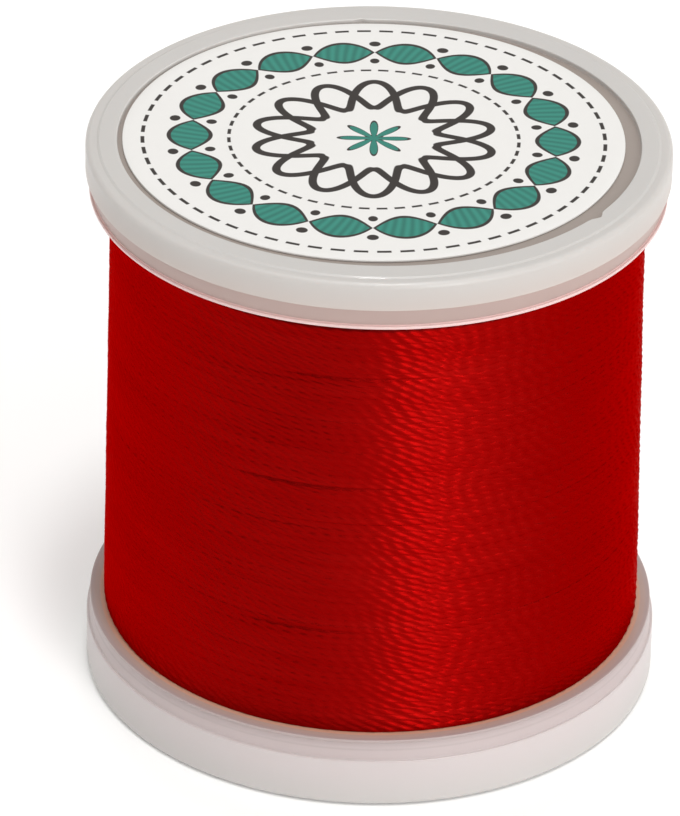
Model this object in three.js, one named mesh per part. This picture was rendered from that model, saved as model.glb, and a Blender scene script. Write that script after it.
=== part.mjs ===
import * as THREE from 'three';

// Spool of machine embroidery thread, in millimetres, +Z up along the spool's axis.
// The origin is the centre of the underside, on the surface that the spool stands on.

// Moulded spool
const SPOOL_HEIGHT = 34;
const FLANGE_RADIUS = 16.5;
const TOP_FLANGE_THICKNESS = 3;
const BOTTOM_FLANGE_THICKNESS = 4.3;
const BARREL_RADIUS = 11.9;
const SPINDLE_RADIUS = 4;
const SPINDLE_CHAMFER = 0.4;

// Rim of both flanges, from the winding's side to the outer face
const LIP_RADIUS = 16.3;
const LIP_THICKNESS = 0.18;
const BAND_RADIUS = 16.15;
const BAND_FLARE = 0.1;
const BAND_HEIGHT = 1.1;
const RIM_ROUND = 0.3;
const RECESS_RADIUS = 14.6;

// Paper label in the recess of the top flange
const LABEL_RADIUS = 14.05;
const LABEL_THICKNESS = 0.35;
const LABEL_SINK = 0.15;
const LABEL_OFFSET = { x: -0.2, y: 0.1 };

// Thread, wound a little wider at the bottom than at the top
const WINDING_TOP_RADIUS = 15.1;
const WINDING_BOTTOM_RADIUS = 15.52;
const WINDING_END_ROUND = 0.4;

// Shallow gaps where neighbouring turns have parted. The bearing is counted from the
// front (-Y) towards +X, and a gap fades out half its span to either side of it.
const GAP_HALF_WIDTH = 0.3;
const GAPS = [
	{ height: 27.1, bearing: - 3, span: 34, depth: 0.12 },
	{ height: 20.2, bearing: - 12, span: 38, depth: 0.14 },
	{ height: 10.8, bearing: - 15, span: 28, depth: 0.1 },
];

// Clearance between pieces that lie against each other
const CLEARANCE = 0.3;

// Faces round a full turn, and steps in a quarter of a round
const TURN_SEGMENTS = 96;
const ROUND_STEPS = 4;

const RECESS_DEPTH = LABEL_SINK + LABEL_THICKNESS + CLEARANCE;
const TOP_INNER_FACE = SPOOL_HEIGHT - TOP_FLANGE_THICKNESS;
const BOTTOM_INNER_FACE = BOTTOM_FLANGE_THICKNESS;

const spoolMaterial = new THREE.MeshStandardMaterial( { color: 0xdedad5, roughness: 0.45, metalness: 0 } );
const threadMaterial = new THREE.MeshStandardMaterial( { color: 0xa00505, roughness: 0.4, metalness: 0 } );
const labelMaterial = new THREE.MeshStandardMaterial( { color: 0xecebe6, roughness: 0.7, metalness: 0 } );

// Turns a profile of [ radius, height ] points round +Z. The points run with the solid
// on their left.
function turned( profile ) {

	const points = profile.map( ( [ radius, height ] ) => new THREE.Vector2( radius, height ) );
	return new THREE.LatheGeometry( points, TURN_SEGMENTS ).rotateX( Math.PI / 2 );

}

// Points of an arc, with its angles in degrees from the outward direction.
function arc( centreRadius, centreHeight, radius, fromAngle, toAngle ) {

	const points = [];

	for ( let step = 0; step <= ROUND_STEPS; step ++ ) {

		const angle = THREE.MathUtils.degToRad( THREE.MathUtils.lerp( fromAngle, toAngle, step / ROUND_STEPS ) );
		points.push( [ centreRadius + radius * Math.cos( angle ), centreHeight + radius * Math.sin( angle ) ] );

	}

	return points;

}

// One flange, from the barrel out along its inner face, over the rim and in along its
// outer face to the spindle hole. It faces up on the top flange and down on the bottom one.
function flangeProfile( innerFace, outerFace ) {

	const out = Math.sign( outerFace - innerFace );
	const lipEnd = innerFace + out * LIP_THICKNESS;
	const bandEnd = lipEnd + out * BAND_HEIGHT;
	const recessFloor = outerFace - out * RECESS_DEPTH;

	return [
		[ BARREL_RADIUS, innerFace ],
		[ LIP_RADIUS, innerFace ],
		[ LIP_RADIUS, lipEnd ],
		[ BAND_RADIUS, lipEnd ],
		[ BAND_RADIUS + BAND_FLARE, bandEnd ],
		[ FLANGE_RADIUS, bandEnd ],
		...arc( FLANGE_RADIUS - RIM_ROUND, outerFace - out * RIM_ROUND, RIM_ROUND, 0, out * 90 ),
		[ RECESS_RADIUS, outerFace ],
		[ RECESS_RADIUS, recessFloor ],
		[ SPINDLE_RADIUS + SPINDLE_CHAMFER, recessFloor ],
		[ SPINDLE_RADIUS, recessFloor - out * SPINDLE_CHAMFER ],
	];

}

// Barrel and flanges, moulded in one piece round the spindle hole.
function makeSpool() {

	const bottom = flangeProfile( BOTTOM_INNER_FACE, 0 ).reverse();
	const top = flangeProfile( TOP_INNER_FACE, SPOOL_HEIGHT );
	return turned( [ ...bottom, ...top, bottom[ 0 ] ] );

}

function windingRadius( height ) {

	const rise = ( height - BOTTOM_INNER_FACE ) / ( TOP_INNER_FACE - BOTTOM_INNER_FACE );
	return THREE.MathUtils.lerp( WINDING_BOTTOM_RADIUS, WINDING_TOP_RADIUS, rise );

}

// How far the surface is drawn in at a bearing in degrees and a height.
function gapDepth( bearing, height ) {

	let depth = 0;

	for ( const gap of GAPS ) {

		const across = Math.abs( height - gap.height ) / GAP_HALF_WIDTH;
		const along = Math.abs( bearing - gap.bearing ) / ( gap.span / 2 );

		if ( across < 1 && along < 1 ) {

			depth += gap.depth * ( 1 - across ) * ( 1 - along * along );

		}

	}

	return depth;

}

// The wound ring: a slightly conical face with rounded ends, drawn in along the gaps.
function makeWinding() {

	const low = BOTTOM_INNER_FACE + CLEARANCE;
	const high = TOP_INNER_FACE - CLEARANCE;
	const innerRadius = BARREL_RADIUS + CLEARANCE;
	const lowRound = [ windingRadius( low ) - WINDING_END_ROUND, low + WINDING_END_ROUND ];
	const highRound = [ windingRadius( high ) - WINDING_END_ROUND, high - WINDING_END_ROUND ];
	const gapRows = [];

	for ( const gap of [ ...GAPS ].reverse() ) {

		for ( const side of [ - 1, 0, 1 ] ) {

			const height = gap.height + side * GAP_HALF_WIDTH;
			gapRows.push( [ windingRadius( height ), height ] );

		}

	}

	const profile = [
		[ innerRadius, low ],
		...arc( ...lowRound, WINDING_END_ROUND, - 90, 0 ),
		...gapRows,
		...arc( ...highRound, WINDING_END_ROUND, 0, 90 ),
		[ innerRadius, high ],
		[ innerRadius, low ],
	];
	const geometry = turned( profile );
	const position = geometry.getAttribute( 'position' );
	const point = new THREE.Vector3();

	for ( let index = 0; index < position.count; index ++ ) {

		point.fromBufferAttribute( position, index );
		const radius = Math.hypot( point.x, point.y );
		const bearing = THREE.MathUtils.radToDeg( Math.atan2( point.x, - point.y ) );
		const drawnIn = ( radius - gapDepth( bearing, point.z ) ) / radius;
		position.setXY( index, point.x * drawnIn, point.y * drawnIn );

	}

	return geometry;

}

// A flat round of paper, its underside at height 0.
function makeLabel() {

	return turned( [
		[ 0, 0 ],
		[ LABEL_RADIUS, 0 ],
		[ LABEL_RADIUS, LABEL_THICKNESS ],
		[ 0, LABEL_THICKNESS ],
	] );

}

function addPiece( group, name, geometry, material ) {

	const mesh = new THREE.Mesh( geometry, material );
	mesh.name = name;
	group.add( mesh );
	return mesh;

}

const threadSpool = new THREE.Group();

addPiece( threadSpool, 'spool', makeSpool(), spoolMaterial );
addPiece( threadSpool, 'thread_winding', makeWinding(), threadMaterial );

const label = addPiece( threadSpool, 'top_label', makeLabel(), labelMaterial );
label.position.set( LABEL_OFFSET.x, LABEL_OFFSET.y, SPOOL_HEIGHT - LABEL_SINK - LABEL_THICKNESS );

export default threadSpool;
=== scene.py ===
import math

import bpy
import numpy as np
from mathutils import Matrix, Vector


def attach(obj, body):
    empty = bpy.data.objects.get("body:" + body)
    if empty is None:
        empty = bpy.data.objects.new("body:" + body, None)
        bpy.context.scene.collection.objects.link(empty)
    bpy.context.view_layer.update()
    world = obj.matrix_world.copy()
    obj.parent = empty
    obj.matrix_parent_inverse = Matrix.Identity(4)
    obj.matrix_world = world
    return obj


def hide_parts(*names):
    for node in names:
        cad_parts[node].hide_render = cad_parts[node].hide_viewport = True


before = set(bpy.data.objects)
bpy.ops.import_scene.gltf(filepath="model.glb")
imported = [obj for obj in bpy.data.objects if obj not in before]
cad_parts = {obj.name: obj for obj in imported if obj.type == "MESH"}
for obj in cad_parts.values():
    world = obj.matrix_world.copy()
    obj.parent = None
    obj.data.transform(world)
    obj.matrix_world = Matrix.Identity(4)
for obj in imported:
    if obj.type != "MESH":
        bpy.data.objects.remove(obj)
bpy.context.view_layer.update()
scene = bpy.context.scene
MM = 0.001


# Camera. It looks down at the front of the spool through a long lens, turned by about a degree,
# so that the spool fills the frame and shows only a little perspective.
FRAME_HEIGHT = 816
SENSOR = 36.0
FOCAL_LENGTH_IN_PIXELS = 7055.64
LOOK_DOWN = math.radians(30.6175)
TURN_OF_FRAME = math.radians(1.0431)
TOP_CENTRE = Vector((0, 0, 34)) * MM
# How far the centre of the top lies from the eye, along the camera's own axes.
TOP_TO_THE_RIGHT, TOP_ABOVE, TOP_AHEAD = 2.214 * MM, 15.124 * MM, 396 * MM

ahead = Vector((0, math.cos(LOOK_DOWN), -math.sin(LOOK_DOWN)))
level = Vector((1, 0, 0))
upright = level.cross(ahead)
right = level * math.cos(TURN_OF_FRAME) + upright * math.sin(TURN_OF_FRAME)
above = upright * math.cos(TURN_OF_FRAME) - level * math.sin(TURN_OF_FRAME)
eye = TOP_CENTRE - right * TOP_TO_THE_RIGHT - above * TOP_ABOVE - ahead * TOP_AHEAD

camera = bpy.data.objects.new("camera", bpy.data.cameras.new("camera"))
camera.data.sensor_width = SENSOR
camera.data.lens = FOCAL_LENGTH_IN_PIXELS * SENSOR / FRAME_HEIGHT
camera.data.clip_start = 10 * MM
camera.matrix_world = Matrix.Translation(eye) @ Matrix((right, above, -ahead)).transposed().to_4x4()
scene.collection.objects.link(camera)
scene.camera = camera
scene.view_settings.view_transform = "Standard"


# Light. A white tent with an opening at the front left, which keeps that half of the thread darker.
# A small high box throws the shadow back to the left, a strip at the front right draws the bright
# streak on the thread, two weak boxes fill the sides, and one overhead glints on the top ring.
def soft_box(name, bearing, elevation, distance, width, height, radiance):
    """An area light that faces the centre of the spool's underside. The bearing is counted from
    the front to the right. Its power follows from its size and the radiance of its face."""
    light = bpy.data.lights.new(name, "AREA")
    light.shape = "RECTANGLE"
    light.size = width
    light.size_y = height
    light.energy = radiance * math.pi * width * height
    lamp = bpy.data.objects.new(name, light)
    turn, rise = math.radians(bearing), math.radians(elevation)
    towards = Vector((math.sin(turn) * math.cos(rise), -math.cos(turn) * math.cos(rise), math.sin(rise)))
    lamp.location = towards * distance
    lamp.rotation_euler = towards.to_track_quat("Z", "Y").to_euler()
    lamp.visible_camera = False
    scene.collection.objects.link(lamp)


# Bearing and elevation in degrees, distance, width and height in metres, and radiance.
soft_box("high_box", 21, 76, 2.4, 0.34, 0.6, 27)
soft_box("front_strip", 26, 18, 2.3, 0.6, 1.6, 5.1)
soft_box("wide_box", 42, 13, 2.4, 1.9, 1.15, 1.1)
soft_box("left_fill", -75, 56, 2.4, 1.9, 1.7, 0.3)
soft_box("top_glint", 187, 84, 2.4, 0.17, 0.17, 55)


class Socket:
    """An output socket of a material's nodes. Arithmetic on it adds Math nodes."""

    def __init__(self, tree, output=None):
        self.tree = tree
        self.output = output

    def node(self, kind, settings, sockets, output=0):
        """Adds a node: its settings first, then the values or links of its sockets."""
        node = self.tree.nodes.new("ShaderNode" + kind)
        for name, setting in settings.items():
            setattr(node, name, setting)
        for name, value in sockets.items():
            if isinstance(value, Socket):
                self.tree.links.new(value.output, node.inputs[name])
            else:
                node.inputs[name].default_value = value
        return Socket(self.tree, node.outputs[output]) if node.outputs else None

    def beside(self, name):
        """Another output of the same node."""
        return Socket(self.tree, self.output.node.outputs[name])

    def math(self, operation, *values, clamped=False):
        settings = {"operation": operation, "use_clamp": clamped}
        return self.node("Math", settings, dict(enumerate(values)))

    def __add__(self, other):
        return self.math("ADD", self, other)

    def __sub__(self, other):
        return self.math("SUBTRACT", self, other)

    def __rsub__(self, other):
        return self.math("SUBTRACT", other, self)

    def __mul__(self, other):
        return self.math("MULTIPLY", self, other)

    def __truediv__(self, other):
        return self.math("DIVIDE", self, other)

    def __rtruediv__(self, other):
        return self.math("DIVIDE", other, self)

    def __neg__(self):
        return self.math("MULTIPLY", self, -1)

    def __abs__(self):
        return self.math("ABSOLUTE", self)

    __radd__ = __add__
    __rmul__ = __mul__


TENT_RADIANCE = 0.68
OPENING_RADIANCE = 0.04
# Bearing and elevation of the opening, how directly it has to be faced to show, and how fast the
# light of the tent fades there.
OPENING_TOWARDS = -36, 8
OPENING_REACH = 0.74
OPENING_FADE = 5.5
TENT_COLOUR = (1.0, 0.985, 0.965, 1)

world = bpy.data.worlds.new("white_tent")
world.use_nodes = True
world.node_tree.nodes.clear()
start = Socket(world.node_tree)
direction = start.node("TexCoord", {}, {}, "Generated")


def facing(bearing, elevation):
    """How directly a direction of the tent lies towards a bearing and an elevation."""
    turn, rise = math.radians(bearing), math.radians(elevation)
    towards = (math.sin(turn) * math.cos(rise), -math.cos(turn) * math.cos(rise), math.sin(rise))
    return start.node("VectorMath", {"operation": "DOT_PRODUCT"}, {0: direction, 1: towards}, "Value")


opening = start.math("MULTIPLY", facing(*OPENING_TOWARDS) - OPENING_REACH, OPENING_FADE, clamped=True)
radiance = TENT_RADIANCE - (TENT_RADIANCE - OPENING_RADIANCE) * opening
tent = start.node("Background", {}, {"Color": TENT_COLOUR, "Strength": radiance})
start.node("OutputWorld", {}, {"Surface": tent})
scene.world = world


# Floor. A plain matt white sheet under the tent, lit through a little from below, with only a faint
# unevenness in its tone.
FLOOR_HALF_WIDTH = 3.0
FLOOR_TONES = (0.93, 0.93, 0.925, 1), (0.95, 0.95, 0.945, 1)
FLOOR_GLOW = 0.08


def new_finish(name):
    """A material without nodes, and the socket that its nodes are added from."""
    material = bpy.data.materials.new(name)
    material.use_nodes = True
    material.node_tree.nodes.clear()
    return material, Socket(material.node_tree)


def noise(start, place, stretch, detail=2.0, roughness=0.5):
    """Smooth noise from 0 to 1. The stretch is how often it changes along each axis of place."""
    scaled = start.node("VectorMath", {"operation": "MULTIPLY"}, {0: place, 1: stretch})
    sockets = {"Vector": scaled, "Scale": 1.0, "Detail": detail, "Roughness": roughness}
    return start.node("TexNoise", {}, sockets, "Fac")


def mixed(start, share, first, second):
    """A colour between two others."""
    return start.node("Mix", {"data_type": "RGBA"}, {0: share, 6: first, 7: second}, 2)


def surface(start, **sockets):
    """Closes a material with one Principled shader. Underscores stand for spaces in the names."""
    named = {name.replace("_", " "): value for name, value in sockets.items()}
    shader = start.node("BsdfPrincipled", {}, named)
    start.node("OutputMaterial", {}, {"Surface": shader})


floor_mesh = bpy.data.meshes.new("floor")
floor_corners = [(-1, -1, 0), (1, -1, 0), (1, 1, 0), (-1, 1, 0)]
floor_mesh.from_pydata([Vector(corner) * FLOOR_HALF_WIDTH for corner in floor_corners], [], [(0, 1, 2, 3)])
floor = bpy.data.objects.new("floor", floor_mesh)
scene.collection.objects.link(floor)
floor_finish, start = new_finish("matt_white_sheet")
place = start.node("TexCoord", {}, {}, "Object")
surface(
    start,
    Base_Color=mixed(start, noise(start, place, (20, 20, 20)), *FLOOR_TONES),
    Roughness=0.9,
    Specular_IOR_Level=0.1,
    Emission_Color=(1, 1, 1, 1),
    Emission_Strength=FLOOR_GLOW,
)
floor_mesh.materials.append(floor_finish)


# Spool. One white moulding of polystyrene: a barrel between two round flanges. Each flange has a
# straight wall with a crisp rim, a narrower band, and a thin lip that lies against the thread.
# The mould left a fine step round the flat ring and two small nicks in the edge of the recess.
SPOOL_HEIGHT = 34.0
FLANGE_RADIUS = 16.5
TOP_FLANGE_THICKNESS = 3.0
BOTTOM_FLANGE_THICKNESS = 4.3
BARREL_RADIUS = 11.9
SPINDLE_RADIUS = 4.0
SPINDLE_CHAMFER = 0.4
LIP_RADIUS = 16.3
LIP_THICKNESS = 0.18
BAND_RADIUS = 16.15
TOP_BAND_FLARE = 0.1
BOTTOM_BAND_FLARE = 0.23
BAND_HEIGHT = 1.1
RIM_ROUND = 0.3
RING_STEP_RADIUS = 15.72
RING_STEP_WIDTH = 0.14
RING_STEP_DROP = 0.07
RECESS_RADIUS = 14.6
RECESS_OVAL = 0.0085
TOP_RECESS_DEPTH = 0.3
BASE_RECESS_DEPTH = 0.8
SPOOL_AROUND = 360
# Nicks in the edge of the recess: bearing, half-width in degrees and depth. They reach a little
# way to either side of the edge.
NICKS = [(55.0, 1.5, 0.3), (184.5, 1.0, 0.16)]
NICK_REACH = 0.35
# The flat ring, the edge of the recess and its floor all lie this near the top.
TOP_FACE_DEPTH = 0.4


def flange_corners(inner_face, outer_face, band_flare, recess_depth):
    """One flange's corners as (radius, height, rounding), from the barrel over the rim to the
    spindle hole. It faces up on the top flange and down on the bottom one."""
    out = math.copysign(1, outer_face - inner_face)
    lip_end = inner_face + out * LIP_THICKNESS
    band_end = lip_end + out * BAND_HEIGHT
    rim_face = outer_face - out * RING_STEP_DROP
    recess_floor = outer_face - out * recess_depth
    return [
        (BARREL_RADIUS, inner_face, 0.3),
        (LIP_RADIUS, inner_face, 0.05),
        (LIP_RADIUS, lip_end, 0.05),
        (BAND_RADIUS, lip_end, 0.03),
        (BAND_RADIUS + band_flare, band_end, 0.03),
        (FLANGE_RADIUS, band_end, 0.05),
        (FLANGE_RADIUS, rim_face, RIM_ROUND),
        (RING_STEP_RADIUS + RING_STEP_WIDTH, rim_face, 0.06),
        (RING_STEP_RADIUS, outer_face, 0.06),
        (RECESS_RADIUS, outer_face, 0.07),
        (RECESS_RADIUS, recess_floor, 0.07),
        (SPINDLE_RADIUS + SPINDLE_CHAMFER, recess_floor, 0.1),
        (SPINDLE_RADIUS, recess_floor - out * SPINDLE_CHAMFER, 0.1),
    ]


def rounded(corners, steps=6, shoulder=0.02):
    """A closed outline through the corners, each turned in an arc of its rounding. A short
    shoulder at both ends of an arc keeps the shading of the flat beside it even."""
    outline = []
    points = [Vector((radius, height)) for radius, height, _ in corners]
    for index, (_, _, rounding) in enumerate(corners):
        corner = points[index]
        before = (points[index - 1] - corner).normalized()
        after = (points[(index + 1) % len(points)] - corner).normalized()
        half = before.angle(after) / 2
        centre = corner + (before + after).normalized() * rounding / math.sin(half)
        reach = rounding / math.tan(half)
        first = corner + before * reach - centre
        last = corner + after * reach - centre
        turn = math.pi - 2 * half
        outline.append(corner + before * (reach + shoulder))
        for step in range(steps + 1):
            share = step / steps
            swing = (first * math.sin((1 - share) * turn) + last * math.sin(share * turn)) / math.sin(turn)
            outline.append(centre + swing)
        outline.append(corner + after * (reach + shoulder))
    return np.array(outline)


def ring_mesh(name, rows):
    """A closed mesh through rows of points, joined round the axis and from last row to first.
    rows has the shape (rows, columns, 3), in millimetres."""
    index = np.arange(rows.shape[0] * rows.shape[1]).reshape(rows.shape[:2])
    beside = np.roll(index, -1, axis=1)
    corners = [index, beside, np.roll(beside, -1, axis=0), np.roll(index, -1, axis=0)]
    loops = np.stack(corners, axis=-1).astype(np.int32)
    mesh = bpy.data.meshes.new(name)
    mesh.vertices.add(index.size)
    mesh.vertices.foreach_set("co", (rows * MM).astype(np.float32).ravel())
    mesh.loops.add(loops.size)
    mesh.loops.foreach_set("vertex_index", loops.ravel())
    mesh.polygons.add(index.size)
    mesh.polygons.foreach_set("loop_start", np.arange(0, loops.size, 4, dtype=np.int32))
    mesh.update(calc_edges=True)
    mesh.shade_smooth()
    mesh.validate()
    return mesh


def around(count):
    """Angles of the columns of a ring mesh, from +X, and their bearings from the front (-Y)."""
    angles = np.arange(count) * 2 * np.pi / count
    return angles, (np.degrees(angles) + 90) % 360


def turned_from(bearings, bearing):
    """How far bearings lie from one of them, from -180 to 180 degrees."""
    return (bearings - bearing + 180) % 360 - 180


bottom = flange_corners(BOTTOM_FLANGE_THICKNESS, 0.0, BOTTOM_BAND_FLARE, BASE_RECESS_DEPTH)[::-1]
top = flange_corners(SPOOL_HEIGHT - TOP_FLANGE_THICKNESS, SPOOL_HEIGHT, TOP_BAND_FLARE, TOP_RECESS_DEPTH)
outline = rounded(bottom + top)
angles, bearings = around(SPOOL_AROUND)
radius = np.repeat(outline[:, :1], SPOOL_AROUND, axis=1)
height = np.repeat(outline[:, 1:], SPOOL_AROUND, axis=1)
in_top_face = height > SPOOL_HEIGHT - TOP_FACE_DEPTH
# The recess of the top is slightly oval, which fades out towards the hole and the rim.
pull = np.interp(radius, [10.0, 14.3, 14.8, 15.6], [0.0, 1.0, 1.0, 0.0]) * in_top_face
radius = radius * (1 - RECESS_OVAL * np.cos(2 * np.radians(bearings)) * pull)
for bearing, half_width, depth in NICKS:
    at_edge = (np.abs(radius - RECESS_RADIUS) < NICK_REACH) & in_top_face
    radius = radius + depth * np.exp(-((turned_from(bearings, bearing) / half_width) ** 2)) * at_edge
spool_rows = np.stack([radius * np.cos(angles), radius * np.sin(angles), height], axis=-1)

plastic, start = new_finish("white_polystyrene")
place = start.node("TexCoord", {}, {}, "Object")
clouding = noise(start, place, (160, 160, 160), 3.0)
grain = noise(start, place, (2600, 2600, 2600))
waves = noise(start, place, (240, 240, 240), 1.0)
bump = {"Strength": 0.35, "Distance": 0.05 * MM, "Height": waves + grain * 0.12}
relief = start.node("Bump", {}, bump, "Normal")
in_mm = start.node("VectorMath", {"operation": "SCALE"}, {0: place, "Scale": 1 / MM})
spool_x = start.node("SeparateXYZ", {}, {"Vector": in_mm}, "X")
spool_y, spool_z = spool_x.beside("Y"), spool_x.beside("Z")
from_axis = start.math("SQRT", spool_x * spool_x + spool_y * spool_y)
above_thread = spool_z - (SPOOL_HEIGHT - TOP_FLANGE_THICKNESS)
below_thread = BOTTOM_FLANGE_THICKNESS - spool_z


def within(distance, steepness):
    """1 where a distance in millimetres is well over 0 and 0 where it is under it."""
    return start.math("MULTIPLY", distance, steepness, clamped=True)


# Painted light on the plastic. Red light from the thread, which shows in and through the translucent
# flanges, is painted into their colour towards it, most into their lips and bands and on the inner
# face of the lower one, where a brighter painted line runs beside the thread. The top lip is also
# painted lighter as a painted highlight, and the top band darker as painted shade. The recess of the
# top is painted darker as painted shade.
# Painted red light on the top wall, on the top band together with painted shade, and on the top lip
# together with a painted highlight.
top_wall_painted_red_light = within(3.0 - abs(above_thread), 0.55)
top_band_painted_shade_and_red_light = within(1.3 - abs(above_thread), 12)
top_lip_painted_highlight_and_red_light = within(0.22 - abs(above_thread - 0.05), 20)
# Painted red light on the lower wall and band.
bottom_wall_painted_red_light = within(4.5 - abs(below_thread), 0.4)
bottom_band_painted_red_light = within(1.42 - abs(below_thread), 4)
# The inner face of the lower flange, painted with red light from the thread.
inner_face = within(0.03 - abs(below_thread), 50)
# A brighter painted line of red light on that face, beside the thread.
painted_red_light_line = inner_face * within(15.78 - from_axis, 9)
# Painted red light on the bottom lip, which is also painted darker than the plain plastic.
bottom_lip_painted_red_light = within(0.26 - abs(below_thread - 0.05), 9) * within(from_axis - 15.95, 5)
seam = within(0.09 - abs(below_thread - 0.65), 12)
recess_floor = SPOOL_HEIGHT - TOP_RECESS_DEPTH
# The recess of the top, painted darker as painted shade.
recess = within(recess_floor + 0.08 - spool_z, 12) * within(spool_z - (recess_floor - SPINDLE_CHAMFER), 20)
recess = recess * within(RECESS_RADIUS + 0.5 - from_axis, 5)
tinted = mixed(start, clouding, (0.515, 0.499, 0.482, 1), (0.555, 0.535, 0.515, 1))
for share, colour in (
    (top_wall_painted_red_light, (0.53, 0.465, 0.432, 1)),
    (top_band_painted_shade_and_red_light, (0.44, 0.32, 0.29, 1)),
    (top_lip_painted_highlight_and_red_light, (0.76, 0.53, 0.51, 1)),
    (bottom_wall_painted_red_light, (0.60, 0.545, 0.54, 1)),
    (bottom_band_painted_red_light, (0.51, 0.43, 0.425, 1)),
    (seam * 0.35, (0.36, 0.30, 0.29, 1)),
    (inner_face, (0.47, 0.355, 0.31, 1)),
    (painted_red_light_line, (0.62, 0.35, 0.24, 1)),
    (bottom_lip_painted_red_light, (0.41, 0.335, 0.325, 1)),
    (recess, (0.30, 0.25, 0.22, 1)),
):
    tinted = mixed(start, share, tinted, colour)
surface(
    start,
    Base_Color=tinted,
    Roughness=0.34 + 0.12 * clouding + 0.06 * grain,
    Normal=relief,
    IOR=1.59,
    Subsurface_Weight=0.2,
    Subsurface_Radius=(1.0, 0.8, 0.7),
    Subsurface_Scale=1.0 * MM,
    Coat_Weight=0.14,
    Coat_Roughness=0.08,
)

spool = bpy.data.objects.new("moulded_spool", ring_mesh("moulded_spool", spool_rows))
scene.collection.objects.link(spool)
spool.data.materials.append(plastic)
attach(spool, "root")
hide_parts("spool")


# Thread. About 200 m of lustrous red rayon, two plies twisted together, wound turn beside turn
# round the barrel. The outer layer is modelled in four bands of turns that meet in a groove.
WINDING_LOW = 4.31
WINDING_HIGH = 30.95
WINDING_TOP_RADIUS = 15.1
WINDING_BOTTOM_RADIUS = 15.52
WINDING_INNER_RADIUS = 12.2
TURNS = 69
TURNS_IN_BANDS = (18, 17, 17, 17)
THREAD_AROUND = 800
ROWS_IN_TURN = 6
GROOVE_DEPTH = 0.04
PLY_DEPTH = 0.066
PLY_REPEATS = 108
TWIST_STEP = 0.78 * math.pi
# At the barrel each band is this much shorter at both ends, so that bands meet only in a groove.
BAND_PARTING = 0.01
# How far the winding draws in at its lower and upper end, and over what height.
LOWER_END = 0.06, 0.25
UPPER_END = 0.22, 0.8
# Where neighbouring turns have parted: height, bearing, span in degrees, half-width and depth.
PARTED = [
    (27.1, -3.0, 34.0, 0.07, 0.13),
    (20.2, -12.0, 38.0, 0.08, 0.15),
    (10.8, -15.0, 28.0, 0.06, 0.1),
]

random = np.random.default_rng(40)
angles, bearings = around(THREAD_AROUND)
pitch = (WINDING_HIGH - WINDING_LOW) / TURNS


def uneven(count, size, reach):
    """Slow waves round the winding for count neighbouring turns or edges. Waves within reach of
    each other are alike."""
    total = np.zeros((count, THREAD_AROUND))
    kernel = np.ones(reach) / math.sqrt(reach)
    for wave in (1, 2, 3, 5, 9, 14):
        loose = random.normal(size=(2, count + reach - 1))
        across, along = [np.convolve(line, kernel, "valid")[:, None] for line in loose]
        total += (across * np.sin(wave * angles) + along * np.cos(wave * angles)) / wave**0.4
    return total * size / total.std()


edge_number = np.arange(TURNS + 1)[:, None]
held = np.clip(np.minimum(edge_number, TURNS - edge_number) / 3, 0, 1)
strayed = uneven(TURNS + 1, 0.03, 5) + uneven(TURNS + 1, 0.008, 1)
edges = WINDING_LOW + pitch * edge_number + held * strayed
part_width = np.zeros_like(edges)
part_depth = np.zeros_like(edges)
for height, bearing, span, half_width, depth in PARTED:
    number = round((height - WINDING_LOW) / pitch)
    along = np.clip(1 - (turned_from(bearings, bearing) / (span / 2)) ** 2, 0, 1)
    part_width[number] += half_width * along
    part_depth[number] += depth * along

# How far each turn stands out, and the phase of its twist, which goes on by an uneven step from
# turn to turn and wanders slowly along each of them.
lift = uneven(TURNS, 0.01, 6) + uneven(TURNS, 0.004, 1)
drift = np.sin(np.arange(TURNS)[:, None] * 0.31) * 0.2
twist = np.cumsum(TWIST_STEP + drift + random.normal(0, 0.85, (TURNS, 1)), axis=0)
twist = twist + uneven(TURNS, 0.9, 5) + uneven(TURNS, 0.85, 1)


def wound_radius(height):
    """Radius of the wound cone at a height, rounded off at both ends."""
    rise = (height - WINDING_LOW) / (WINDING_HIGH - WINDING_LOW)
    cone = WINDING_BOTTOM_RADIUS + (WINDING_TOP_RADIUS - WINDING_BOTTOM_RADIUS) * rise
    for from_end, (draw, over) in ((height - WINDING_LOW, LOWER_END), (WINDING_HIGH - height, UPPER_END)):
        cone = cone - draw * np.clip(1 - from_end / over, 0, 1) ** 2
    return cone


def turn_rows(turn):
    """The rows of one turn, from the groove under it to just below the groove over it."""
    low = edges[turn] + part_width[turn]
    high = edges[turn + 1] - part_width[turn + 1]
    below = lift[max(turn - 1, 0)]
    groove = wound_radius(edges[turn]) + (lift[turn] + below) / 2 - GROOVE_DEPTH - part_depth[turn]
    rows = [(groove, edges[turn])]
    for step in range(1, ROWS_IN_TURN):
        swing = -math.pi / 2 + math.pi * step / ROWS_IN_TURN
        height = (low + high) / 2 + (high - low) / 2 * math.sin(swing)
        ply = np.cos(swing + PLY_REPEATS / 2 * angles + twist[turn]) ** 2
        hollow = GROOVE_DEPTH * (1 - math.cos(swing)) + PLY_DEPTH * (1 - ply) * math.cos(swing)
        rows.append((wound_radius(height) + lift[turn] - hollow, height))
    return rows


def band_rows(first, last):
    """The closed rows of the turns from first up to last, with the wall that faces the barrel."""
    rows = [row for turn in range(first, last) for row in turn_rows(turn)]
    above = lift[min(last, TURNS - 1)]
    end = wound_radius(edges[last]) + (lift[last - 1] + above) / 2 - GROOVE_DEPTH - part_depth[last]
    rows.append((end, edges[last]))
    inner = np.full(THREAD_AROUND, WINDING_INNER_RADIUS)
    rows.append((inner, edges[last] - BAND_PARTING))
    rows.append((inner, edges[first] + BAND_PARTING))
    radius, height = (np.array(values) for values in zip(*rows))
    return np.stack([radius * np.cos(angles), radius * np.sin(angles), height], axis=-1)


# Strips that a band is cut into for pictures of its finish, and what is left free at their ends
# and sides, as a share of a strip.
STRIPS = 4
STRIP_END = 0.005
STRIP_SIDE = 0.03


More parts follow.
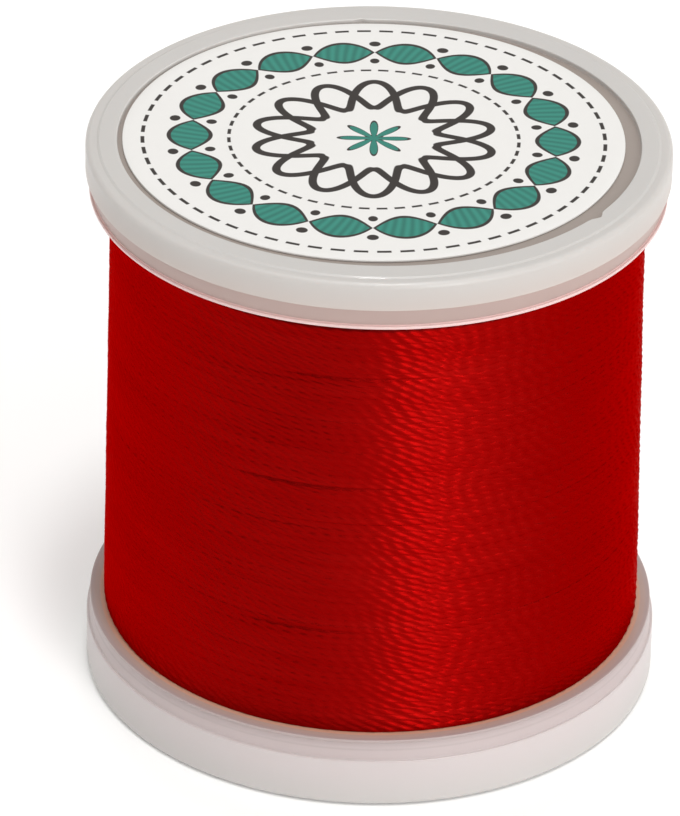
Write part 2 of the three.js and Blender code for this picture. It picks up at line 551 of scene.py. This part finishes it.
def lay_out(mesh, first, row_count):
    """Adds two maps. One holds millimetres along the thread and turns across it. The other
    stacks the band's strips in the unit square."""
    row, column = np.divmod(np.arange(row_count * THREAD_AROUND), THREAD_AROUND)
    rows = row[:, None] + np.array([0, 0, 1, 1])
    columns = column[:, None] + np.array([0, 1, 1, 0])
    turns = first + rows / ROWS_IN_TURN
    length = 2 * math.pi * WINDING_TOP_RADIUS
    run = np.stack([(columns / THREAD_AROUND + np.floor(turns)) * length, turns], axis=-1)
    strip = column[:, None] * STRIPS // THREAD_AROUND
    across = STRIP_END + (1 - 2 * STRIP_END) * (columns * STRIPS / THREAD_AROUND - strip)
    down = (strip + STRIP_SIDE + (1 - 2 * STRIP_SIDE) * rows / row_count) / STRIPS
    for name, places in (("thread_run", run), ("OFBake", np.stack([across, down], axis=-1))):
        layer = mesh.uv_layers.new(name=name)
        layer.uv.foreach_set("vector", places.astype(np.float32).ravel())


REDS = (0.268, 0.0008, 0.0008, 1), (0.33, 0.0035, 0.003, 1)
SHADED_RED = (0.12, 0.002, 0.002, 1)
# Over this height the turns lie in the shade of the top flange's lip.
SHADED_FROM = 30.08
# Millimetres of thread in which a filament slants across one turn, and filaments side by side.
SLANT_LENGTH = 0.95
FILAMENTS = 11

rayon, start = new_finish("lustrous_red_rayon")
place = start.node("TexCoord", {}, {}, "Object")
run = start.node("UVMap", {"uv_map": "thread_run"}, {}, "UV")
along = start.node("SeparateXYZ", {}, {"Vector": run}, "X")
across = along.beside("Y")
ply_line = across + along * (1 / SLANT_LENGTH)
strand = start.node("CombineXYZ", {}, {"X": ply_line * FILAMENTS, "Y": along * 0.7, "Z": across * 0.4})
filaments = noise(start, strand, (1, 1, 1), 2.0, 0.6)
streaks = noise(start, place, (90, 90, 2400))
shades = noise(start, place, (130, 130, 300))
tone = (streaks * 0.45 + shades * 0.3 + filaments * 0.25 - 0.5) * 2.2 + 0.5
thread_z = start.node("SeparateXYZ", {}, {"Vector": place}, "Z") * (1 / MM)
shaded = start.math("MULTIPLY", thread_z - SHADED_FROM, 7, clamped=True)
dyed = mixed(start, start.math("MULTIPLY", tone, 1, clamped=True), *REDS)
relief = start.node("Bump", {}, {"Strength": 0.6, "Distance": 0.012 * MM, "Height": filaments}, "Normal")
surface(
    start,
    Base_Color=mixed(start, shaded, dyed, SHADED_RED),
    Roughness=0.27 + 0.12 * filaments,
    Normal=relief,
    Metallic=1.0,
    Anisotropic=0.9,
    Anisotropic_Rotation=0.25,
    Specular_IOR_Level=0.0,
    Specular_Tint=(1.0, 0.04, 0.02, 1),
)

first = 0
for number, count in enumerate(TURNS_IN_BANDS, 1):
    rows = band_rows(first, first + count)
    band = bpy.data.objects.new(f"wound_thread_{number}", ring_mesh(f"wound_thread_{number}", rows))
    lay_out(band.data, first, len(rows))
    scene.collection.objects.link(band)
    band.data.materials.append(rayon)
    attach(band, "root")
    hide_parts("thread_winding")
    first += count


# Label. A round of matt white paper, die cut, glued into the recess of the top flange a little off
# centre, and printed with a plain embroidery ornament in teal green and brown black.
LABEL_RADIUS = 14.05
LABEL_UNDERSIDE = 33.71
LABEL_THICKNESS = 0.14
LABEL_OVAL = 0.006
LABEL_CENTRE = Vector((-0.31, 0.30, 0))
LABEL_AROUND = 192
LABEL_RINGS = 24
# Waves in the edge of the paper: height, how many go round, and shift.
LABEL_WAVES = [(0.014, 2, 0.6), (0.009, 5, 2.0)]


def label_height(radius, angle, share):
    """Height of the paper, from its underside at a share of 0 to its face at 1."""
    wave = sum(size * math.sin(count * angle + shift) for size, count, shift in LABEL_WAVES)
    return LABEL_UNDERSIDE + LABEL_THICKNESS * share + wave * (radius / LABEL_RADIUS) ** 3 * share


# Radius and share of the thickness, out along the underside, round the cut edge and back in.
label_outline = [(LABEL_RADIUS * ring / LABEL_RINGS, 0.0) for ring in range(1, LABEL_RINGS)]
label_outline += [(LABEL_RADIUS - 0.03, 0.0), (LABEL_RADIUS, 0.2), (LABEL_RADIUS, 0.8)]
label_outline += [(LABEL_RADIUS - 0.01, 0.94), (LABEL_RADIUS - 0.04, 1.0)]
label_outline += [(LABEL_RADIUS * ring / LABEL_RINGS, 1.0) for ring in range(LABEL_RINGS - 1, 0, -1)]
label_points = []
for radius, share in label_outline:
    for column in range(LABEL_AROUND):
        angle = column * 2 * math.pi / LABEL_AROUND
        reach = radius * (1 + LABEL_OVAL * math.cos(2 * angle))
        height = label_height(radius, angle, share)
        point = Vector((reach * math.cos(angle), reach * math.sin(angle), height))
        label_points.append((point + LABEL_CENTRE) * MM)
label_faces = []
for ring in range(len(label_outline) - 1):
    for column in range(LABEL_AROUND):
        beside = (column + 1) % LABEL_AROUND
        low, high = ring * LABEL_AROUND, (ring + 1) * LABEL_AROUND
        label_faces.append((low + column, low + beside, high + beside, high + column))
last_ring = (len(label_outline) - 1) * LABEL_AROUND
for share, ring in ((0, 0), (1, last_ring)):
    middle = len(label_points)
    label_points.append((Vector((0, 0, LABEL_UNDERSIDE + LABEL_THICKNESS * share)) + LABEL_CENTRE) * MM)
    for column in range(LABEL_AROUND):
        pair = (ring + column, ring + (column + 1) % LABEL_AROUND)
        label_faces.append((middle, *pair) if share else (middle, *reversed(pair)))
label_mesh = bpy.data.meshes.new("paper_label")
label_mesh.from_pydata(label_points, [], label_faces)
label_mesh.shade_smooth()
label_mesh.set_sharp_from_angle(angle=math.radians(50))

PAPER = (0.775, 0.765, 0.745, 1)
PAPER_SHADE = (0.74, 0.73, 0.71, 1)
TEAL = (0.010, 0.155, 0.118, 1)
TEAL_LIGHT = (0.022, 0.235, 0.18, 1)
BROWN_BLACK = (0.020, 0.014, 0.011, 1)
# Half the width over which a printed edge fades, in millimetres.
INK_BLEED = 0.02
# Rings of running stitch: radius, half-width, stitches, and the share of each that is drawn.
OUTER_RING = 13.0, 0.11, 64, 0.62
INNER_RING = 8.15, 0.1, 52, 0.6
# Wreath of leaves, each with a dark outline and filled with slanted satin stitches, and dots on
# both sides of the wreath where two leaves meet.
LEAVES = 18
WREATH_RADIUS = 10.35
LEAF_HALF_WIDTH = 1.3
LEAF_OUTLINE = 0.24
SATIN_STITCHES = 22
SATIN_SLANT = 3
DOT_RADIUS = 0.3
DOT_FROM_WREATH = 1.05
# Braid of two looped lines: radius, swing, loops and half-width.
BRAID = 5.2, 1.55, 7, 0.24
# Flower in the middle.
PETALS = 8
FLOWER_RADIUS = 1.25
PETAL_SWING = 0.85
PETAL_OUTLINE = 0.2

paper, start = new_finish("printed_paper")
place = start.node("TexCoord", {}, {}, "Object")
centred = start.node("VectorMath", {"operation": "SUBTRACT"}, {0: place, 1: LABEL_CENTRE * MM})
in_mm = start.node("VectorMath", {"operation": "SCALE"}, {0: centred, "Scale": 1 / MM})
label_x = start.node("SeparateXYZ", {}, {"Vector": in_mm}, "X")
label_y = label_x.beside("Y")
from_middle = start.math("SQRT", label_x * label_x + label_y * label_y)
angle = start.math("ARCTAN2", label_x, -label_y)


def inked(distance):
    """1 inside a shape and 0 outside it, from the distance to its edge in millimetres."""
    return start.math("MULTIPLY", distance + INK_BLEED, 0.5 / INK_BLEED, clamped=True)


def share_of_repeat(repeats, shift=0.0):
    """How far along its repeat a point is, from -0.5 to 0.5, for a motif that goes round."""
    return start.math("FRACT", angle * (repeats / (2 * math.pi)) + shift) - 0.5


def stitched_ring(radius, half_width, repeats, drawn):
    """A ring of running stitches. drawn is the share of each repeat that is drawn."""
    step = 2 * math.pi * radius / repeats
    along_stitch = drawn * step / 2 - abs(share_of_repeat(repeats)) * step
    return inked(start.math("MINIMUM", half_width - abs(from_middle - radius), along_stitch))


def looped_line(radius, swing, loops, half_width, shift):
    """Distance into a wavy line round the middle, as wide on its slopes as on its crests."""
    phase = angle * loops + shift
    line = radius + swing * start.math("COSINE", phase)
    slope = start.math("SINE", phase) * (swing * loops) / from_middle
    return half_width - abs(from_middle - line) / start.math("SQRT", slope * slope + 1)


from_wreath = from_middle - WREATH_RADIUS
lengthwise = share_of_repeat(LEAVES) * 2
leaf = LEAF_HALF_WIDTH * (1 - lengthwise * lengthwise) - abs(from_wreath)
between = share_of_repeat(LEAVES, 0.5) * (2 * math.pi * WREATH_RADIUS / LEAVES)
outward = abs(from_wreath) - DOT_FROM_WREATH
dot = DOT_RADIUS - start.math("SQRT", between * between + outward * outward)
satin = start.math("SINE", lengthwise * SATIN_STITCHES + from_wreath * SATIN_SLANT) * 0.5 + 0.5
flower = FLOWER_RADIUS + PETAL_SWING * start.math("COSINE", angle * PETALS) - from_middle

dark = stitched_ring(*OUTER_RING)
for ink in (
    inked(leaf),
    inked(dot),
    stitched_ring(*INNER_RING),
    inked(looped_line(*BRAID, 0.0)),
    inked(looped_line(*BRAID, math.pi)),
    inked(flower),
):
    dark = start.math("MAXIMUM", dark, ink)
green = start.math("MAXIMUM", inked(leaf - LEAF_OUTLINE), inked(flower - PETAL_OUTLINE))
fibres = noise(start, place, (1500, 1500, 1500), 3.0)
mottle = noise(start, place, (220, 220, 220))
sheet = mixed(start, fibres * 0.5 + mottle * 0.5, PAPER, PAPER_SHADE)
inks = mixed(start, green, BROWN_BLACK, mixed(start, satin, TEAL, TEAL_LIGHT))
relief = start.node("Bump", {}, {"Strength": 0.25, "Distance": 0.03 * MM, "Height": fibres}, "Normal")
printed = start.math("MAXIMUM", dark, green)
surface(
    start,
    Base_Color=mixed(start, printed, sheet, inks),
    Roughness=0.62 - 0.14 * printed + 0.06 * fibres,
    Normal=relief,
    IOR=1.45,
)

label = bpy.data.objects.new("paper_label", label_mesh)
scene.collection.objects.link(label)
label_mesh.materials.append(paper)
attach(label, "root")
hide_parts("top_label")
